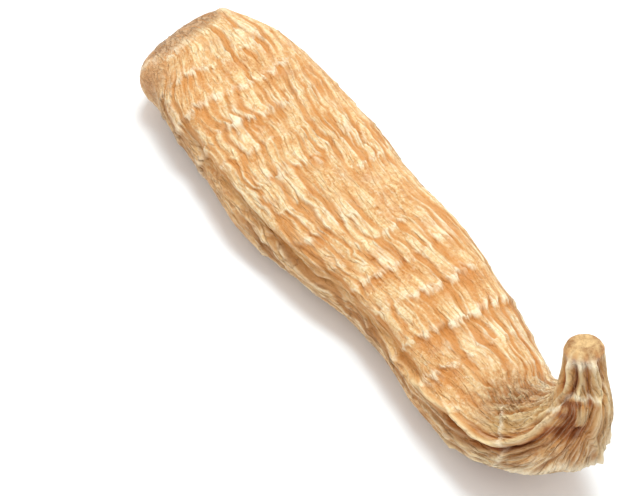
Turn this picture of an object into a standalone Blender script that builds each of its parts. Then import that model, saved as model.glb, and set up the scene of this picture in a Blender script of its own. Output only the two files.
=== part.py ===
"""A dried gastrodia tuber, lying down: one grown body, flat and ribbed, with a blunt end and a hooked end.

The body is a set of sections strung on a bent centre line, with the folds, bud rings and hollows of the
skin raised from it by formula. X runs from the blunt end to the hook, Y across the body, Z up from the
surface that it lies on. Lengths are in millimetres up to the last step, which makes them metres.

Two pairs of numbers place a point of the skin. "way" is the distance along the centre line from the blunt
end, and "turn" is the share of the way round the girth, from 0 on top through 0.25 on the +Y side. "grown"
and "lane" are the same two before the rings bow and the folds sway, so that a ring keeps one grown distance
and a fold keeps one lane.
"""

import math

import bmesh
import bpy
import numpy as np

MM = 0.001

# Driving dimensions, in millimetres.
LENGTH = 118.0
WIDTH = 32.0
THICKNESS = 15.0
HOOK_RISE = 23.9
FOLD_SPACING = 4.2
FOLD_HEIGHT = 0.8
RING_HEIGHT = 0.7

# Sections of the plain form, from the blunt end to the tip of the stem stub. The centre is given as shares
# of LENGTH, WIDTH and HOOK_RISE, the reach to each side as shares of WIDTH, over and under as shares of
# THICKNESS. The last number is the squareness of the section: 2 is an ellipse, and more is squarer.
#    along   aside    rise    left   right    over   under  square
SECTIONS = np.array([
    [-0.505, -0.119, 0.067, 0.372, 0.262, 0.347, 0.347, 2.9],
    [-0.458, -0.081, 0.042, 0.388, 0.350, 0.413, 0.427, 2.8],
    [-0.398, -0.050, 0.017, 0.419, 0.428, 0.487, 0.467, 2.6],
    [-0.322, -0.038, 0.000, 0.450, 0.469, 0.533, 0.467, 2.5],
    [-0.153, -0.019, 0.000, 0.488, 0.478, 0.533, 0.480, 2.5],
    [-0.042, 0.006, 0.000, 0.434, 0.453, 0.527, 0.480, 2.5],
    [0.068, 0.038, 0.000, 0.375, 0.414, 0.520, 0.480, 2.5],
    [0.182, 0.031, 0.000, 0.369, 0.386, 0.507, 0.480, 2.4],
    [0.288, 0.006, 0.017, 0.360, 0.344, 0.453, 0.480, 2.3],
    [0.369, 0.013, 0.092, 0.328, 0.295, 0.373, 0.467, 2.2],
    [0.424, 0.069, 0.285, 0.269, 0.269, 0.307, 0.500, 2.1],
    [0.442, 0.150, 0.519, 0.169, 0.168, 0.253, 0.427, 2.0],
    [0.432, 0.213, 0.736, 0.122, 0.122, 0.233, 0.253, 2.0],
    [0.420, 0.231, 1.000, 0.092, 0.092, 0.195, 0.195, 2.0],
])
SECTION_UNITS = np.array([LENGTH, WIDTH, HOOK_RISE, WIDTH, WIDTH, THICKNESS, THICKNESS, 1.0])
BLUNT_CAP = 5.0
BLUNT_POWER = 2.8
TIP_CAP = 1.4
TIP_POWER = 3.2

# The body lies on the crests of its belly, and on one flat spot under its weight.
REST_LEVEL = -7.1
REST_SPOT_WAY = 56.0
REST_SPOT_REACH = 11.0
REST_SPOT_HALF_WIDTH = 4.5
REST_SPOT_PRESS = 1.3

# Each bud ring's way and strength.
RINGS = np.array([
    (6.5, 0.35), (14.0, 0.5), (22.0, 0.6), (29.7, 0.7), (36.0, 0.45), (43.0, 0.4), (50.0, 0.5),
    (57.0, 0.5), (63.8, 0.6), (70.6, 0.65), (77.8, 1.0), (85.6, 0.9), (93.0, 0.6), (99.8, 0.8),
])
RING_BOW = 2.5
RING_ZIGZAG = 2.2

# How far the folds drift aside along the body: way and millimetres.
FOLD_DRIFT = np.array([
    (0, 3.6), (8, 3.4), (20, 1.3), (30, 0), (50, -1.7), (62, -1.5), (77, -0.4), (90, -1.2), (105, -2.5),
    (130, -2.5),
])

# Mesh of the solid: columns round the girth, and rows in each stretch of its length.
COLUMNS = 92
BLUNT_ROWS = 5
ROWS_PER_RING = 3
HOOK_ROWS = 15
TIP_ROWS = 4

SIDE_GROOVE = [
    (26, -0.212), (36, -0.208), (49, -0.221), (63, -0.203), (72, -0.207), (80, -0.187), (88, -0.19),
]

# Ridges and grooves that run lengthwise over the hook and up the stub: height, half width and (way, turn).
HOOK_RIDGES = [
    (1.15, 0.65, [(90, -0.205), (94, -0.198), (98, -0.185), (101, -0.187), (103.8, -0.199),
                  (105.2, -0.203), (107.6, -0.202), (109.5, -0.198), (111, -0.193), (113, -0.192),
                  (115, -0.191), (117.2, -0.188)]),
    (0.9, 0.45, [(116.5, -0.148), (119, -0.158), (120.8, -0.172), (122.5, -0.21), (125.4, -0.22),
                 (129.5, -0.204)]),
    (0.5, 0.45, [(116, -0.182), (118, -0.184), (119.5, -0.19), (121.3, -0.225)]),
    (0.45, 0.4, [(114, -0.12), (115.3, -0.107), (117.4, -0.072), (119.5, -0.09), (121.5, -0.12)]),
    (0.6, 0.5, [(121.3, -0.272), (123.2, -0.288), (126.5, -0.3), (129.5, -0.29)]),
    (1.0, 0.65, [(115.5, -0.48), (116.7, -0.455), (118, -0.41), (119.4, -0.394), (120.6, -0.399),
                 (121.8, -0.398), (123.2, -0.425), (126.1, -0.415), (129.5, -0.39)]),
    (0.5, 0.4, [(108.9, -0.245), (110.2, -0.228), (111.4, -0.214), (113.1, -0.206), (115, -0.22)]),
    (0.45, 0.4, [(100, -0.255), (103.8, -0.25), (106.2, -0.239), (108.3, -0.229)]),
    (0.45, 0.4, [(101, -0.285), (103, -0.278), (105, -0.266), (106.9, -0.258), (108.8, -0.243)]),
    (0.5, 0.45, [(96, -0.3), (100, -0.31), (103.3, -0.305), (105.5, -0.29), (107.6, -0.273)]),
    (0.9, 0.45, [(115.2, -0.327), (116.2, -0.315), (117.3, -0.303)]),
    (0.45, 0.35, [(99.5, -0.06), (101.1, -0.04), (103, 0.0)]),
    (0.45, 0.35, [(101.5, -0.075), (102.8, -0.056), (105, -0.017), (106.5, 0.0)]),
    (0.45, 0.35, [(104.5, -0.09), (106.4, -0.068), (109.3, -0.046)]),
    (0.45, 0.35, [(106.5, -0.115), (108.6, -0.1), (111.2, -0.074)]),
]
HOOK_GROOVES = [
    (1.4, 0.55, [(99, -0.207), (101.9, -0.214), (104.3, -0.224), (106.7, -0.225), (109.5, -0.221),
                 (111.4, -0.217), (113.4, -0.215), (115, -0.214)]),
    (0.45, 0.6, [(104, -0.183), (107, -0.182), (109.5, -0.173), (112, -0.165), (115, -0.162)]),
    (0.5, 0.5, [(123, -0.155), (124.2, -0.153), (126.1, -0.14), (129.5, -0.15)]),
    (0.9, 0.5, [(121, -0.205), (122.3, -0.232), (123.9, -0.252), (125.8, -0.264), (129.5, -0.242)]),
    (0.6, 0.5, [(122, -0.353), (124, -0.353), (126.1, -0.35), (129.5, -0.34)]),
    (0.7, 0.5, [(121.5, -0.437), (122.7, -0.447), (125.4, -0.47), (129.5, -0.449)]),
    (0.5, 0.4, [(103.5, -0.062), (105.7, -0.042), (107.5, -0.02)]),
    (0.5, 0.4, [(105.5, -0.095), (107.5, -0.078), (110, -0.058)]),
    (0.5, 0.5, [(119, 0.03), (129.5, 0.03)]),
    (0.5, 0.5, [(117, 0.14), (129.5, 0.14)]),
    (0.5, 0.5, [(116, 0.3), (129.5, 0.3)]),
]
# The hollow behind the collar: way, turn and reach of the places that it is sunk at. Its pocket is at its end.
HOLLOW = [
    (110.5, -0.225, 1.0), (112.3, -0.237, 1.4), (114.2, -0.255, 1.8), (115.5, -0.285, 2.1),
    (115.8, -0.32, 2.1),
    (116.4, -0.36, 2.1), (117.3, -0.385, 1.6),
]
HOLLOW_DEPTH = 1.5
POCKET = [
    (119.4, -0.285, 1.3), (118.6, -0.25, 1.1), (119.8, -0.35, 1.1), (118.2, -0.32, 1.4),
    (117.0, -0.25, 1.1),
]
POCKET_DEPTH = 1.9
POCKET_LUMP = (119.6, -0.322)
# The darkest places round the lump: way, turn and reach.
POCKET_SHADE = [
    (121.3, -0.285, 0.6), (120.9, -0.25, 0.7), (119.6, -0.262, 0.8), (118.2, -0.285, 0.9), (117.9, -0.33, 0.8),
    (116.4, -0.21, 0.7), (118.9, -0.215, 0.5),
]
# The collar's edge, the last bud scar and the hem of the stub's skin go round the hook: turn and way.
COLLAR_EDGE = np.array([
    (0.2, 113.5), (0.3, 115.5), (0.4, 116.8), (0.483, 117.2), (0.503, 116.4), (0.514, 115.6),
    (0.545, 114.6),
    (0.565, 114.2), (0.594, 113.5), (0.626, 113.5), (0.65, 112.9), (0.663, 111.9), (0.672, 111.0),
    (0.694, 110.4),
    (0.704, 109.4), (0.725, 108.0),
])
LAST_SCAR = np.array([
    (0.7, 106.8), (0.721, 107.6), (0.75, 108.8), (0.79, 109.9), (0.81, 109.3), (0.86, 108.1),
    (0.892, 107.1),
    (0.93, 105.5),
])
STUB_HEM = np.array([
    (0.6, 121.5), (0.632, 122.0), (0.66, 122.5), (0.69, 122.6), (0.72, 122.2), (0.746, 121.9), (0.77, 121.4),
    (0.79, 120.9), (0.815, 119.5), (0.84, 118.0),
])
CREASE = (105.5, -0.045)

# The rim round the blunt end's face, where it shows on top: turn from the top, and way.
END_RIM = np.array([
    (-0.25, 2.0), (-0.17, 3.2), (-0.13, 4.2), (-0.09, 5.5), (0.05, 5.7), (0.08, 5.0), (0.12, 4.0),
    (0.25, 2.5),
])

SKIN_COLOUR = (0.78, 0.56, 0.33, 1.0)
SKIN_ROUGHNESS = 0.72


def smooth_curve(knots, values, at):
    """A smooth curve through the rows of values at the knots, read at the places in at."""
    slopes = np.gradient(values, knots, axis=0)
    left = np.clip(np.searchsorted(knots, at) - 1, 0, len(knots) - 2)
    gap = (knots[left + 1] - knots[left])[:, None]
    t = (at - knots[left])[:, None] / gap
    ends = (2 * t**3 - 3 * t**2 + 1) * values[left] + (3 * t**2 - 2 * t**3) * values[left + 1]
    tangents = (t**3 - 2 * t**2 + t) * slopes[left] + (t**3 - t**2) * slopes[left + 1]
    return ends + gap * tangents


def centre_line():
    """The way along the centre line, with the section numbers, direction and width direction there."""
    numbers = SECTIONS * SECTION_UNITS
    chord = np.r_[0.0, np.cumsum(np.linalg.norm(np.diff(numbers[:, :3], axis=0), axis=1))]
    sections = smooth_curve(chord, numbers, np.linspace(0.0, chord[-1], 1400))
    way = np.r_[0.0, np.cumsum(np.linalg.norm(np.diff(sections[:, :3], axis=0), axis=1))]
    ahead = np.gradient(sections[:, :3], way, axis=0)
    ahead /= np.linalg.norm(ahead, axis=1)[:, None]
    side = np.array([0.0, 1.0, 0.0])
    sides = np.empty_like(ahead)
    for k, direction in enumerate(ahead):
        side = side - direction * (side @ direction)
        side /= np.linalg.norm(side)
        sides[k] = side
    return way, sections, ahead, sides


CENTRE_LINE = centre_line()
TOTAL = CENTRE_LINE[0][-1]


def read_rows(way, table, at):
    """The rows of a table kept along the way, read at the places in at."""
    return np.stack([np.interp(at, way, column) for column in table.T], axis=1)


def between(table, row, column):
    """A table read between its rows and columns."""
    i = np.clip(np.floor(row).astype(int), 0, table.shape[0] - 2)
    j = np.clip(np.floor(column).astype(int), 0, table.shape[1] - 2)
    a, b = row - i, column - j
    near = table[i, j] * (1 - b) + table[i, j + 1] * b
    far = table[i + 1, j] * (1 - b) + table[i + 1, j + 1] * b
    return near * (1 - a) + far * a


def end_taper(way):
    """How full the section is, from 0 at both poles to 1 past the end caps."""
    blunt = np.clip(1 - way / BLUNT_CAP, 0, 1)
    tip = np.clip(1 - (TOTAL - way) / TIP_CAP, 0, 1)
    return (1 - blunt**BLUNT_POWER) ** (1 / BLUNT_POWER) * (1 - tip**TIP_POWER) ** (1 / TIP_POWER)


def section_outline(reach):
    """A closed section from the top round by +Y: its lift, its sideways offset and the arc length to each."""
    left, right, over, under, square = reach
    angle = np.linspace(0, 2 * math.pi, 721)
    c, s = np.cos(angle), np.sin(angle)
    lift = np.sign(c) * abs(c) ** (2 / square) * np.where(c > 0, over, under)
    aside = np.sign(s) * abs(s) ** (2 / square) * np.where(s > 0, right, left)
    arc = np.r_[0.0, np.cumsum(np.hypot(np.diff(lift), np.diff(aside)))]
    return lift, aside, arc


def girth_at(way):
    """The girth of the full section for each way."""
    numbers = read_rows(CENTRE_LINE[0], CENTRE_LINE[1], way)
    return np.array([section_outline(row[3:])[2][-1] for row in numbers])


def plain_points(way, turn):
    """Points of the plain form, for a table of ways and turns."""
    flat_way = way.ravel()
    line, sections, ahead, sides = CENTRE_LINE
    stations = np.linspace(0, TOTAL, 521)
    outlines = [section_outline(row[3:]) for row in read_rows(line, sections, stations)]
    shares = np.linspace(0, 1, 721)
    lifts = np.stack([np.interp(shares * arc[-1], arc, lift) for lift, aside, arc in outlines])
    asides = np.stack([np.interp(shares * arc[-1], arc, aside) for lift, aside, arc in outlines])
    row = flat_way / TOTAL * (len(stations) - 1)
    column = (turn.ravel() % 1.0) * (len(shares) - 1)
    taper = end_taper(flat_way)[:, None]
    lift = between(lifts, row, column)[:, None] * taper
    aside = between(asides, row, column)[:, None] * taper
    centre = read_rows(line, sections[:, :3], flat_way)
    forward = read_rows(line, ahead, flat_way)
    width = read_rows(line, sides, flat_way)
    upward = np.cross(forward, width)
    return (centre + lift * upward + aside * width).reshape(way.shape + (3,))


def outward(way, turn):
    """The direction out of the plain form."""
    step, swing = 0.05, 0.002
    before = np.clip(way - step, 0, TOTAL)
    after = np.clip(way + step, 0, TOTAL)
    ahead = plain_points(after, turn) - plain_points(before, turn)
    around = plain_points(way, turn + swing) - plain_points(way, turn - swing)
    normal = np.cross(ahead, around)
    normal[0] = -CENTRE_LINE[2][0]
    normal[-1] = CENTRE_LINE[2][-1]
    return normal / np.linalg.norm(normal, axis=2)[..., None]


def skin_spread(way, reach, hold):
    """Weights that smooth a pattern along the way, less across a bud ring."""
    apart = way[:, None] - way[None, :]
    ring = np.searchsorted(RINGS[:, 0], way)
    weights = np.exp(-0.5 * (apart / reach) ** 2) * hold ** abs(ring[:, None] - ring[None, :])
    return weights / weights.sum(axis=1, keepdims=True)


def grow_folds(seed, spacing, stretch, hold, rounds=3, gain=1.0, rows=261, lanes=512):
    """Folds that run lengthwise, fork and end, from -1 in the furrows to 1 on the crests.

    Noise is passed again and again through a filter that keeps one spacing round the girth and smooths along
    the body. hold is the share of a fold that carries on past a bud ring.
    """
    way = np.linspace(0, TOTAL, rows)
    waves = np.arange(lanes // 2 + 1)[None, :] / girth_at(way)[:, None]
    near = spacing / 5.7
    far = 1.6 * near
    keep = np.exp(-2 * (math.pi * near * waves) ** 2) - np.exp(-2 * (math.pi * far * waves) ** 2)
    spread = skin_spread(way, stretch, hold)
    folds = np.random.default_rng(seed).standard_normal((rows, lanes))
    for _ in range(rounds):
        folds = np.fft.irfft(np.fft.rfft(spread @ folds, axis=1) * keep, lanes, axis=1)
        folds = np.tanh(gain * folds / folds.std())
    return np.concatenate([folds, folds[:, :1]], axis=1)


def grow_noise(seed, along, across, rows=261, lanes=512):
    """Plain soft noise with a mean of 0 and a spread of 1, of this grain along the body and round it."""
    way = np.linspace(0, TOTAL, rows)
    waves = np.arange(lanes // 2 + 1)[None, :] / girth_at(way)[:, None]
    keep = np.exp(-0.5 * (2 * math.pi * across / 2.5 * waves) ** 2)
    noise = np.random.default_rng(seed).standard_normal((rows, lanes))
    spread = skin_spread(way, along / 2.5, 1.0) @ noise
    noise = np.fft.irfft(np.fft.rfft(spread, axis=1) * keep, lanes, axis=1)
    noise /= noise.std()
    return np.concatenate([noise, noise[:, :1]], axis=1)


def read_skin(table, grown, lane):
    """A pattern of the skin, read at places on it."""
    rows, lanes = table.shape
    return between(table, grown / TOTAL * (rows - 1), (lane % 1.0) * (lanes - 1))


def bow(grown, lane):
    """How far the rings bow back towards the blunt end at the sides of the body."""
    body = np.clip((grown - 3) / 12, 0, 1) * np.clip((106 - grown) / 14, 0, 1)
    return RING_BOW * body * 0.5 * (1 - np.cos(4 * math.pi * lane))


def sway(grown, lane):
    """How far the folds swing aside from a straight line along the body."""
    drift = np.interp(grown, FOLD_DRIFT[:, 0], FOLD_DRIFT[:, 1])
    swings = 0.6 * read_skin(grow_noise(5, 14, 14), grown, lane)
    swings += 0.15 * read_skin(grow_noise(6, 5, 6), grown, lane)
    ends = np.clip(grown / 8, 0, 1) * np.clip((TOTAL - grown) / 30, 0, 1)
    return drift * np.clip(grown / 3, 0, 1) * np.clip((TOTAL - grown) / 20, 0, 1) + ends * swings


def bump(distance, half_width):
    """A soft rise of height 1 at distance 0."""
    return np.exp(-((distance / half_width) ** 2))


def ramp(value, start, end):
    """From 0 at start to 1 at end, with soft corners."""
    t = np.clip((value - start) / (end - start), 0, 1)
    return t * t * (3 - 2 * t)


def stroke(way, turn, girth, path, half_width, soft=4.0):
    """A stroke of height 1 along a path of (way, turn) points, fading out at its ends."""
    path = np.array(path)
    line = np.interp(way, path[:, 0], path[:, 1])
    aside = ((turn - line + 0.5) % 1.0 - 0.5) * girth
    inside = ramp(way, path[0, 0] - soft, path[0, 0]) * ramp(way, path[-1, 0] + soft, path[-1, 0])
    return bump(aside, half_width) * inside


def spot(way, turn, girth, place, half_length, half_width):
    """A soft rise of height 1 round one place on the skin."""
    aside = ((turn - place[1] + 0.5) % 1.0 - 0.5) * girth
    return np.exp(-(((way - place[0]) / half_length) ** 2) - (aside / half_width) ** 2)


def union(way, turn, girth, places):
    """From 0 to 1 over a run of places (way, turn, reach) that melt into one another."""
    outside = 1.0
    for place_way, place_turn, reach in places:
        outside = outside * (1 - spot(way, turn, girth, (place_way, place_turn), reach, reach))
    return 1 - outside


def round_stroke(way, turn, path, half_width):
    """A stroke of height 1 that goes round the body along a path of (turn, way) points."""
    around = turn % 1.0
    line = np.interp(around, path[:, 0], path[:, 1])
    starts, ends = path[0, 0], path[-1, 0]
    inside = ramp(around, starts - 0.02, starts + 0.02) * ramp(around, ends + 0.02, ends - 0.02)
    return bump(way - line, half_width) * inside


def hook_relief(way, turn, girth):
    """Ridges, grooves, the hollow and the collar of the hooked end."""
    relief = 0.0
    for height, half_width, path in HOOK_RIDGES:
        relief = relief + height * stroke(way, turn, girth, path, half_width, soft=2.5)
    for depth, half_width, path in HOOK_GROOVES:
        relief = relief - depth * stroke(way, turn, girth, path, half_width, soft=2.0)
    relief = relief * ramp(TOTAL - way, 1.3, 2.4)
    relief -= HOLLOW_DEPTH * union(way, turn, girth, HOLLOW)
    relief -= POCKET_DEPTH * union(way, turn, girth, POCKET)
    relief += 2.6 * spot(way, turn, girth, POCKET_LUMP, 1.5, 1.1)
    relief += 0.8 * round_stroke(way, turn, COLLAR_EDGE, 1.15)
    relief += 0.3 * round_stroke(way, turn, LAST_SCAR, 0.95)
    relief += 0.4 * round_stroke(way, turn, STUB_HEM, 1.0)
    relief += 0.9 * spot(way, turn, girth, (114.6, -0.45), 2.5, 3.0)
    relief -= 1.2 * spot(way, turn, girth, CREASE, 5.5, 6.5)
    return relief


def blunt_relief(way, turn):
    """The rim and the sunk face of the blunt end, and the round scar in its middle."""
    top_turn = (turn + 0.5) % 1.0 - 0.5
    rim = np.interp(top_turn, END_RIM[:, 0], END_RIM[:, 1])
    on_top = ramp(abs(top_turn), 0.24, 0.12)
    share = end_taper(way)
    scar = (way < BLUNT_CAP) * (0.5 * bump(share - 0.42, 0.1) - 1.3 * bump(share, 0.3))
    return on_top * (0.45 * bump(way - rim, 0.5) - 0.45 * ramp(rim - way, 0.0, 1.6)) + scar


def tip_rim(way):
    """The rim round the dried cut face of the stem stub, and the slight dish in that face."""
    share = end_taper(way)
    tip = way > TOTAL - TIP_CAP
    return 0.15 * bump(TOTAL - way - 1.5, 0.5) - tip * 0.4 * bump(share, 0.6)


def dents(grown, lane):
    """Broad dents and swellings of the drying body."""
    turn = 2 * math.pi * lane
    long_dents = 0.4 * np.sin(grown / 6.1 + 2 * np.cos(turn)) * np.cos(2 * turn + grown / 11)
    cross_dents = 0.3 * np.sin(3 * turn - grown / 7.7 + 1.3)
    return (long_dents + cross_dents) * ramp(grown, 0, 10) * ramp(grown, 112, 100)


def ring_relief(grown, lane, edge, patches):
    """Bud rings: the skin rises to each ring, ends in a zigzag edge and drops to the next stretch."""
    halfway = 0.5 * (RINGS[1:, 0] + RINGS[:-1, 0])
    nearest = np.searchsorted(halfway, grown)
    past = grown - RINGS[nearest, 0] - RING_ZIGZAG * (edge - 0.5)
    over = ramp(past, -0.3, 0.7)
    rise = bump(np.minimum(past, 0), 2.2) * (1 - over)
    drop = bump(np.maximum(past, 0), 1.8) * over
    strength = RINGS[nearest, 1] * patches
    return RING_HEIGHT * strength * (0.6 * rise - 0.45 * drop)


def fold_strength(way, turn, girth):
    """Where the folds are high and where the skin is drawn smooth."""
    ends = ramp(way, 1.0, 9.0) * (1 - 0.5 * ramp(way, 118, 122)) * ramp(TOTAL - way, 1.3, 2.2)
    smooth_flank = 0.25 * spot(way, turn, girth, (31, 0.2), 12, 5)
    smooth_corner = 0.7 * spot(way, turn, girth, (8, -0.2), 5, 6)
    in_crease = 0.7 * spot(way, turn, girth, CREASE, 6, 7)
    return ends * (1 - smooth_flank) * (1 - smooth_corner) * (1 - in_crease)


def skin_rows(blunt_rows, rows_per_ring, hook_rows, tip_rows, lead=1 / 6):
    """Grown distances of the rows of the mesh, closer together at the end caps and at the rings."""
    blunt_angle = np.linspace(0, math.pi / 2, blunt_rows + 1)[:-1]
    blunt = BLUNT_CAP * (1 - np.cos(blunt_angle) ** (2 / BLUNT_POWER))
    share = (np.arange(len(RINGS) * rows_per_ring) + 0.5) / rows_per_ring
    bunched = share - 0.6 * np.sin(2 * math.pi * share) / (2 * math.pi) - lead
    knots = np.r_[2 * RINGS[0, 0] - RINGS[1, 0], RINGS[:, 0], 2 * RINGS[-1, 0] - RINGS[-2, 0]]
    body = np.interp(bunched, np.arange(-1, len(RINGS) + 1), knots)
    body = body[body > BLUNT_CAP + 0.3]
    hook = np.linspace(body[-1], TOTAL - TIP_CAP, hook_rows + 1)[1:]
    tip_angle = np.linspace(0, math.pi / 2, tip_rows + 1)[:-1]
    tip = TOTAL - TIP_CAP * (1 - np.cos(tip_angle) ** (2 / TIP_POWER))
    return np.r_[blunt, body, hook, tip[::-1]]


def tuber_points(rows, columns):
    """Points of the skin, one row for each grown distance, poles included."""
    grown, lane = np.meshgrid(rows, np.arange(columns) / columns, indexing="ij")
    way = np.clip(grown - bow(grown, lane), 0, TOTAL)
    girth = np.maximum(girth_at(way[:, 0])[:, None], 1.0)
    turn = lane + sway(grown, lane) / girth
    strength = fold_strength(way, turn, girth)
    strength = strength * np.clip(0.9 + 0.3 * read_skin(grow_noise(10, 8, 6), grown, lane), 0.5, 1.3)
    crests = (0.5 + 0.5 * read_skin(grow_folds(21, FOLD_SPACING, 3.6, 0.45), grown, lane)) ** 0.8
    patches = np.clip(0.6 + 0.5 * read_skin(grow_noise(8, 5, 5), grown, lane), 0, 1.4)
    relief = FOLD_HEIGHT * strength * (crests - 0.85)
    relief += ring_relief(grown, lane, crests, patches) + dents(grown, lane)
    relief += hook_relief(way, turn, girth) + blunt_relief(way, turn) + tip_rim(way)
    relief -= 1.5 * stroke(way, turn, girth, SIDE_GROOVE, 1.5, soft=6.0)
    press_along = bump(way - REST_SPOT_WAY, REST_SPOT_REACH)
    press_across = bump(((turn % 1.0) - 0.5) * girth, REST_SPOT_HALF_WIDTH)
    relief += REST_SPOT_PRESS * press_along * press_across
    relief[0] = relief[0].mean()
    relief[-1] = relief[-1].mean()
    points = plain_points(way, turn) + relief[..., None] * outward(way, turn)
    points[..., 2] = np.maximum(points[..., 2], REST_LEVEL)
    return points


def stand_at_origin(points):
    """The points moved so that their box stands on the origin, centred in X and Y."""
    low, high = points.min(axis=(0, 1)), points.max(axis=(0, 1))
    return points - [(low[0] + high[0]) / 2, (low[1] + high[1]) / 2, low[2]]


def skin_material():
    """The dry cream-tan skin."""
    material = bpy.data.materials.new("dry_tuber_skin")
    material.use_nodes = True
    shader = material.node_tree.nodes["Principled BSDF"]
    shader.inputs["Base Color"].default_value = SKIN_COLOUR
    shader.inputs["Roughness"].default_value = SKIN_ROUGHNESS
    shader.inputs["Metallic"].default_value = 0.0
    return material


def make_tuber(collection):
    """The whole tuber: a ball whose poles become the two ends, with every vertex set on the skin."""
    rows = skin_rows(BLUNT_ROWS, ROWS_PER_RING, HOOK_ROWS, TIP_ROWS)
    points = stand_at_origin(tuber_points(rows, COLUMNS)) * MM
    ball = bmesh.new()
    bmesh.ops.create_uvsphere(ball, u_segments=COLUMNS, v_segments=len(rows) - 1, radius=1.0)
    for vertex in ball.verts:
        down = math.acos(max(-1.0, min(1.0, vertex.co.z)))
        row = round(down / math.pi * (len(rows) - 1))
        column = round(math.atan2(vertex.co.y, vertex.co.x) / (2 * math.pi) * COLUMNS) % COLUMNS
        vertex.co = points[row, column]
    mesh = bpy.data.meshes.new("tuber")
    ball.to_mesh(mesh)
    ball.free()
    mesh.shade_smooth()
    mesh.materials.append(skin_material())
    tuber = bpy.data.objects.new("tuber", mesh)
    collection.objects.link(tuber)
    return tuber


def main():
    for old in list(bpy.data.objects):
        bpy.data.objects.remove(old, do_unlink=True)
    collection = bpy.data.collections.new("gastrodia_tuber")
    bpy.context.scene.collection.children.link(collection)
    make_tuber(collection)


main()
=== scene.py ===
"""The looks of a dried gastrodia tuber: its finely wrinkled skin, and a plain pale studio.

The skin has the form of the solid that it replaces, from the same dimensions and the same grown folds.
Plates, fine wrinkles, frayed rings, pale crust and colour are added to it. Lengths are in millimetres up to
the last step.

Two pairs of numbers place a point of the skin. "way" is the distance along the centre line from the blunt
end, and "turn" is the share of the girth, from 0 on top through 0.25 on the +Y side. "grown" and "lane" are
the same two before the rings bow and the folds sway.
"""

import math

import bmesh
import bpy
import numpy as np
from mathutils import Matrix, Vector


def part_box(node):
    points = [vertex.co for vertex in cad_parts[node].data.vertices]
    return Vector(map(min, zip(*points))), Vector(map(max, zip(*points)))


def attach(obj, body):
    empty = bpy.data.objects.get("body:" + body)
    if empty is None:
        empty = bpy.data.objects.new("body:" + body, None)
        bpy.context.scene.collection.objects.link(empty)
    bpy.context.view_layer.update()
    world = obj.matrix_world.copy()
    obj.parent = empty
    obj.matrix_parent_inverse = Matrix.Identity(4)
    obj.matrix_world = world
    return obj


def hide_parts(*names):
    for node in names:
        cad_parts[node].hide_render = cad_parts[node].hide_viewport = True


MM = 0.001

# Driving dimensions of the solid, in millimetres, and the share of a fold's height below the plain form.
LENGTH = 118.0
WIDTH = 32.0
THICKNESS = 15.0
HOOK_RISE = 23.9
FOLD_SPACING = 4.2
FOLD_HEIGHT = 0.8
FOLD_LEVEL = 0.85
RING_HEIGHT = 0.7

# How much of the solid's folds and rings the fine skin has. Its plates and fringes stand for the rest.
FINE_FOLD_SHARE = 0.25
FINE_RING_SHARE = 0.65

# Sections from the blunt end to the tip: place of the centre and reach of the section, as shares of the
# driving dimensions, and how square the section is.
#    along   aside    rise    left   right    over   under  square
SECTIONS = np.array([
    [-0.505, -0.119, 0.067, 0.372, 0.262, 0.347, 0.347, 2.9],
    [-0.458, -0.081, 0.042, 0.388, 0.350, 0.413, 0.427, 2.8],
    [-0.398, -0.050, 0.017, 0.419, 0.428, 0.487, 0.467, 2.6],
    [-0.322, -0.038, 0.000, 0.450, 0.469, 0.533, 0.467, 2.5],
    [-0.153, -0.019, 0.000, 0.488, 0.478, 0.533, 0.480, 2.5],
    [-0.042, 0.006, 0.000, 0.434, 0.453, 0.527, 0.480, 2.5],
    [0.068, 0.038, 0.000, 0.375, 0.414, 0.520, 0.480, 2.5],
    [0.182, 0.031, 0.000, 0.369, 0.386, 0.507, 0.480, 2.4],
    [0.288, 0.006, 0.017, 0.360, 0.344, 0.453, 0.480, 2.3],
    [0.369, 0.013, 0.092, 0.328, 0.295, 0.373, 0.467, 2.2],
    [0.424, 0.069, 0.285, 0.269, 0.269, 0.307, 0.500, 2.1],
    [0.442, 0.150, 0.519, 0.169, 0.168, 0.253, 0.427, 2.0],
    [0.432, 0.213, 0.736, 0.122, 0.122, 0.233, 0.253, 2.0],
    [0.420, 0.231, 1.000, 0.092, 0.092, 0.195, 0.195, 2.0],
])
SECTION_UNITS = np.array([LENGTH, WIDTH, HOOK_RISE, WIDTH, WIDTH, THICKNESS, THICKNESS, 1.0])

# How finely the plain form is worked out: points of the centre line and of a section, and sections.
LINE_POINTS = 1400
OUTLINE_POINTS = 721
FORM_STATIONS = 521

# Lengths of the rounded ends, and how full they are.
BLUNT_CAP = 5.0
BLUNT_POWER = 2.8
TIP_CAP = 1.4
TIP_POWER = 3.2

# The flat spot that the tuber rests on: its level, place and size, and how far the skin is pressed down.
REST_LEVEL = -7.1
REST_SPOT_WAY = 56.0
REST_SPOT_REACH = 11.0
REST_SPOT_HALF_WIDTH = 4.5
REST_SPOT_PRESS = 1.3

# Each bud ring's way and strength.
RINGS = np.array([
    (6.5, 0.35), (14.0, 0.5), (22.0, 0.6), (29.7, 0.7), (36.0, 0.45), (43.0, 0.4), (50.0, 0.5),
    (57.0, 0.5), (63.8, 0.6), (70.6, 0.65), (77.8, 1.0), (85.6, 0.9), (93.0, 0.6), (99.8, 0.8),
])
RING_BOW = 2.5
RING_ZIGZAG = 2.2

# How far the folds drift aside along the body: way and millimetres.
FOLD_DRIFT = np.array([
    (0, 3.6), (8, 3.4), (20, 1.3), (30, 0), (50, -1.7), (62, -1.5), (77, -0.4), (90, -1.2),
    (105, -2.5), (130, -2.5),
])

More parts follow.
